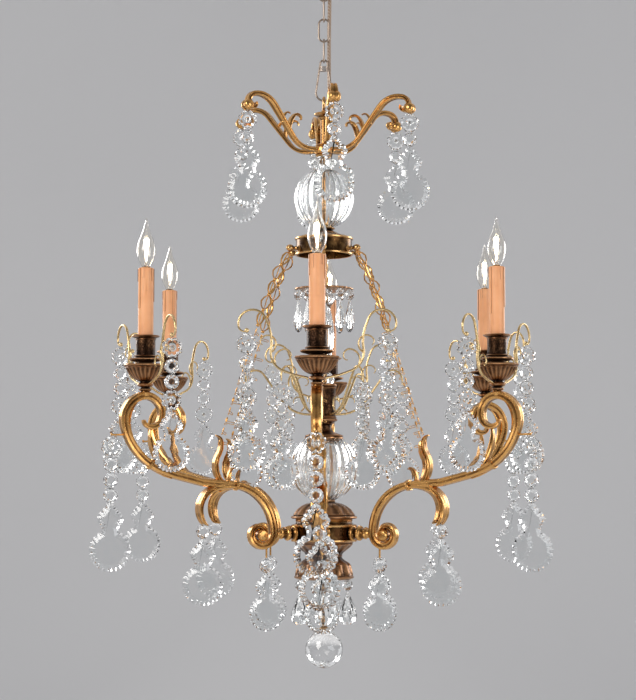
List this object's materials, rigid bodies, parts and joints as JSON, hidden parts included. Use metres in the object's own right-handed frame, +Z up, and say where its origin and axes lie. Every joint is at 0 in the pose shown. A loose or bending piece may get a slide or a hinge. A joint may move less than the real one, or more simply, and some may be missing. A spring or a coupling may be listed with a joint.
{
  "type": "crystal chandelier",
  "caption": "Cast brass scroll-arm chandelier with candle lamps, a glass column, swags and hanging cut crystals, on a chain from a ceiling rose.",
  "frame": {"origin": "on the fixture's axis in the plane of the ceiling, at the middle of the rose's rim", "axes": "+Z up along the column and the chain, +X to the right and -Y towards the front, where a candle arm stands"},
  "size_m": [0.6846, 0.7136, 1.184],
  "materials": {
    "brass": "antique gilt",
    "cast_brass": "antique gilt casting",
    "bronze": "dark antique bronze",
    "chain_metal": "aged bronze",
    "steel": "zinc plated",
    "cord_sheath": "translucent brown",
    "crystal": "cut and polished",
    "candle": "wax-like with brown drips",
    "holder": "plain",
    "bulb_glass": "clear"
  },
  "bodies": {
    "ceiling_rose": {"ceiling_canopy": "brass", "mounting_bar": "steel", "canopy_loop": "chain_metal"},
    "chain": {"suspension_chain": "chain_metal", "supply_cord": "cord_sheath"},
    "fixture": {"stem_tube": "brass", "crown_arms": "cast_brass", "top_knop": "crystal", "top_ball": "crystal", "upper_drum": "brass", "swag_chains": "brass", "drop_ring": "brass", "top_drops": "crystal", "glass_baluster": "crystal", "column_sleeve": "brass", "column_hooks": "brass", "column_strands": "crystal", "lower_ball": "crystal", "hub_dome": "brass", "hub_body": "brass", "lower_bell": "brass", "scroll_arms": "cast_brass", "candle_bowls": "bronze", "candle_cups": "bronze", "candle_scrolls": "brass", "candle_sleeves": "candle", "lamp_holders": "holder", "bulbs": "bulb_glass", "bottom_drops": "crystal", "finial_ball": "crystal"},
    "crown_strand_1": {"crown_strand_1": "crystal"},
    "crown_strand_2": {"crown_strand_2": "crystal"},
    "crown_strand_3": {"crown_strand_3": "crystal"},
    "crown_strand_4": {"crown_strand_4": "crystal"},
    "crown_strand_5": {"crown_strand_5": "crystal"},
    "crown_strand_6": {"crown_strand_6": "crystal"},
    "outer_strand_1": {"outer_strand_1": "crystal"},
    "outer_strand_2": {"outer_strand_2": "crystal"},
    "outer_strand_3": {"outer_strand_3": "crystal"},
    "outer_strand_4": {"outer_strand_4": "crystal"},
    "outer_strand_5": {"outer_strand_5": "crystal"},
    "outer_strand_6": {"outer_strand_6": "crystal"},
    "leaf_pendant_1": {"leaf_pendant_1": "crystal"},
    "leaf_pendant_2": {"leaf_pendant_2": "crystal"},
    "leaf_pendant_3": {"leaf_pendant_3": "crystal"},
    "leaf_pendant_4": {"leaf_pendant_4": "crystal"},
    "leaf_pendant_5": {"leaf_pendant_5": "crystal"},
    "leaf_pendant_6": {"leaf_pendant_6": "crystal"},
    "volute_pendant_1": {"volute_pendant_1": "crystal"},
    "volute_pendant_2": {"volute_pendant_2": "crystal"},
    "volute_pendant_3": {"volute_pendant_3": "crystal"},
    "volute_pendant_4": {"volute_pendant_4": "crystal"},
    "volute_pendant_5": {"volute_pendant_5": "crystal"},
    "volute_pendant_6": {"volute_pendant_6": "crystal"},
    "candle_strands_1": {"candle_strands_1": "crystal"},
    "candle_strands_2": {"candle_strands_2": "crystal"},
    "candle_strands_3": {"candle_strands_3": "crystal"},
    "candle_strands_4": {"candle_strands_4": "crystal"},
    "candle_strands_5": {"candle_strands_5": "crystal"},
    "candle_strands_6": {"candle_strands_6": "crystal"}
  },
  "joints": [
    {"name": "chain_swing", "type": "hinge", "parent": "ceiling_rose", "child": "chain", "pos_m": [0, 0, -0.074], "axis": [1, 0, 0], "range_deg": [-5, 5]},
    {"name": "fixture_sway", "type": "hinge", "parent": "chain", "child": "fixture", "pos_m": [0, 0, -0.29905], "axis": [0, 1, 0], "range_deg": [-4, 4]},
    {"name": "crown_strand_1_swing", "type": "hinge", "parent": "fixture", "child": "crown_strand_1", "pos_m": [0.01506, -0.14329, -0.33253], "axis": [0.9945, 0.1045, 0], "range_deg": [-6, 6]},
    {"name": "crown_strand_2_swing", "type": "hinge", "parent": "fixture", "child": "crown_strand_2", "pos_m": [0.13162, -0.0586, -0.33253], "axis": [0.4067, 0.9135, 0], "range_deg": [-6, 6]},
    {"name": "crown_strand_3_swing", "type": "hinge", "parent": "fixture", "child": "crown_strand_3", "pos_m": [0.11656, 0.08469, -0.33253], "axis": [-0.5878, 0.809, 0], "range_deg": [-6, 6]},
    {"name": "crown_strand_4_swing", "type": "hinge", "parent": "fixture", "child": "crown_strand_4", "pos_m": [-0.01506, 0.14329, -0.33253], "axis": [-0.9945, -0.1045, 0], "range_deg": [-6, 6]},
    {"name": "crown_strand_5_swing", "type": "hinge", "parent": "fixture", "child": "crown_strand_5", "pos_m": [-0.13162, 0.0586, -0.33253], "axis": [-0.4067, -0.9135, 0], "range_deg": [-6, 6]},
    {"name": "crown_strand_6_swing", "type": "hinge", "parent": "fixture", "child": "crown_strand_6", "pos_m": [-0.11656, -0.08469, -0.33253], "axis": [0.5878, -0.809, 0], "range_deg": [-6, 6]},
    {"name": "outer_strand_1_swing", "type": "hinge", "parent": "fixture", "child": "outer_strand_1", "pos_m": [-0.01228, -0.35179, -0.8319], "axis": [-0.0349, -0.9994, 0], "range_deg": [-8, 8]},
    {"name": "outer_strand_2_swing", "type": "hinge", "parent": "fixture", "child": "outer_strand_2", "pos_m": [0.29851, -0.18653, -0.8319], "axis": [0.848, -0.5299, 0], "range_deg": [-8, 8]},
    {"name": "outer_strand_3_swing", "type": "hinge", "parent": "fixture", "child": "outer_strand_3", "pos_m": [0.3108, 0.16525, -0.8319], "axis": [0.8829, 0.4695, 0], "range_deg": [-8, 8]},
    {"name": "outer_strand_4_swing", "type": "hinge", "parent": "fixture", "child": "outer_strand_4", "pos_m": [0.01228, 0.35179, -0.8319], "axis": [0.0349, 0.9994, 0], "range_deg": [-8, 8]},
    {"name": "outer_strand_5_swing", "type": "hinge", "parent": "fixture", "child": "outer_strand_5", "pos_m": [-0.29851, 0.18653, -0.8319], "axis": [-0.848, 0.5299, 0], "range_deg": [-8, 8]},
    {"name": "outer_strand_6_swing", "type": "hinge", "parent": "fixture", "child": "outer_strand_6", "pos_m": [-0.3108, -0.16525, -0.8319], "axis": [-0.8829, -0.4695, 0], "range_deg": [-8, 8]},
    {"name": "leaf_pendant_1_swing", "type": "hinge", "parent": "fixture", "child": "leaf_pendant_1", "pos_m": [-0.00713, -0.20409, -0.96082], "axis": [0.9994, -0.0349, 0], "range_deg": [-8, 8]},
    {"name": "leaf_pendant_2_swing", "type": "hinge", "parent": "fixture", "child": "leaf_pendant_2", "pos_m": [0.17318, -0.10821, -0.96082], "axis": [0.5299, 0.848, 0], "range_deg": [-8, 8]},
    {"name": "leaf_pendant_3_swing", "type": "hinge", "parent": "fixture", "child": "leaf_pendant_3", "pos_m": [0.18031, 0.09587, -0.96082], "axis": [-0.4695, 0.8829, 0], "range_deg": [-8, 8]},
    {"name": "leaf_pendant_4_swing", "type": "hinge", "parent": "fixture", "child": "leaf_pendant_4", "pos_m": [0.00713, 0.20409, -0.96082], "axis": [-0.9994, 0.0349, 0], "range_deg": [-8, 8]},
    {"name": "leaf_pendant_5_swing", "type": "hinge", "parent": "fixture", "child": "leaf_pendant_5", "pos_m": [-0.17318, 0.10821, -0.96082], "axis": [-0.5299, -0.848, 0], "range_deg": [-8, 8]},
    {"name": "leaf_pendant_6_swing", "type": "hinge", "parent": "fixture", "child": "leaf_pendant_6", "pos_m": [-0.18031, -0.09587, -0.96082], "axis": [0.4695, -0.8829, 0], "range_deg": [-8, 8]},
    {"name": "volute_pendant_1_swing", "type": "hinge", "parent": "fixture", "child": "volute_pendant_1", "pos_m": [-0.00346, -0.09894, -1.0134], "axis": [-0.0349, -0.9994, 0], "range_deg": [-8, 8]},
    {"name": "volute_pendant_2_swing", "type": "hinge", "parent": "fixture", "child": "volute_pendant_2", "pos_m": [0.08396, -0.05246, -1.0134], "axis": [0.848, -0.5299, 0], "range_deg": [-8, 8]},
    {"name": "volute_pendant_3_swing", "type": "hinge", "parent": "fixture", "child": "volute_pendant_3", "pos_m": [0.08741, 0.04648, -1.0134], "axis": [0.8829, 0.4695, 0], "range_deg": [-8, 8]},
    {"name": "volute_pendant_4_swing", "type": "hinge", "parent": "fixture", "child": "volute_pendant_4", "pos_m": [0.00346, 0.09894, -1.0134], "axis": [0.0349, 0.9994, 0], "range_deg": [-8, 8]},
    {"name": "volute_pendant_5_swing", "type": "hinge", "parent": "fixture", "child": "volute_pendant_5", "pos_m": [-0.08396, 0.05246, -1.0134], "axis": [-0.848, 0.5299, 0], "range_deg": [-8, 8]},
    {"name": "volute_pendant_6_swing", "type": "hinge", "parent": "fixture", "child": "volute_pendant_6", "pos_m": [-0.08741, -0.04648, -1.0134], "axis": [-0.8829, -0.4695, 0], "range_deg": [-8, 8]},
    {"name": "candle_strands_1_swing", "type": "hinge", "parent": "fixture", "child": "candle_strands_1", "pos_m": [-0.01043, -0.29882, -0.69255], "axis": [0.9994, -0.0349, 0], "range_deg": [-8, 8]},
    {"name": "candle_strands_2_swing", "type": "hinge", "parent": "fixture", "child": "candle_strands_2", "pos_m": [0.25357, -0.15845, -0.69255], "axis": [0.5299, 0.848, 0], "range_deg": [-8, 8]},
    {"name": "candle_strands_3_swing", "type": "hinge", "parent": "fixture", "child": "candle_strands_3", "pos_m": [0.264, 0.14037, -0.69255], "axis": [-0.4695, 0.8829, 0], "range_deg": [-8, 8]},
    {"name": "candle_strands_4_swing", "type": "hinge", "parent": "fixture", "child": "candle_strands_4", "pos_m": [0.01043, 0.29882, -0.69255], "axis": [-0.9994, 0.0349, 0], "range_deg": [-8, 8]},
    {"name": "candle_strands_5_swing", "type": "hinge", "parent": "fixture", "child": "candle_strands_5", "pos_m": [-0.25357, 0.15845, -0.69255], "axis": [-0.5299, -0.848, 0], "range_deg": [-8, 8]},
    {"name": "candle_strands_6_swing", "type": "hinge", "parent": "fixture", "child": "candle_strands_6", "pos_m": [-0.264, -0.14037, -0.69255], "axis": [0.4695, -0.8829, 0], "range_deg": [-8, 8]}
  ]
}
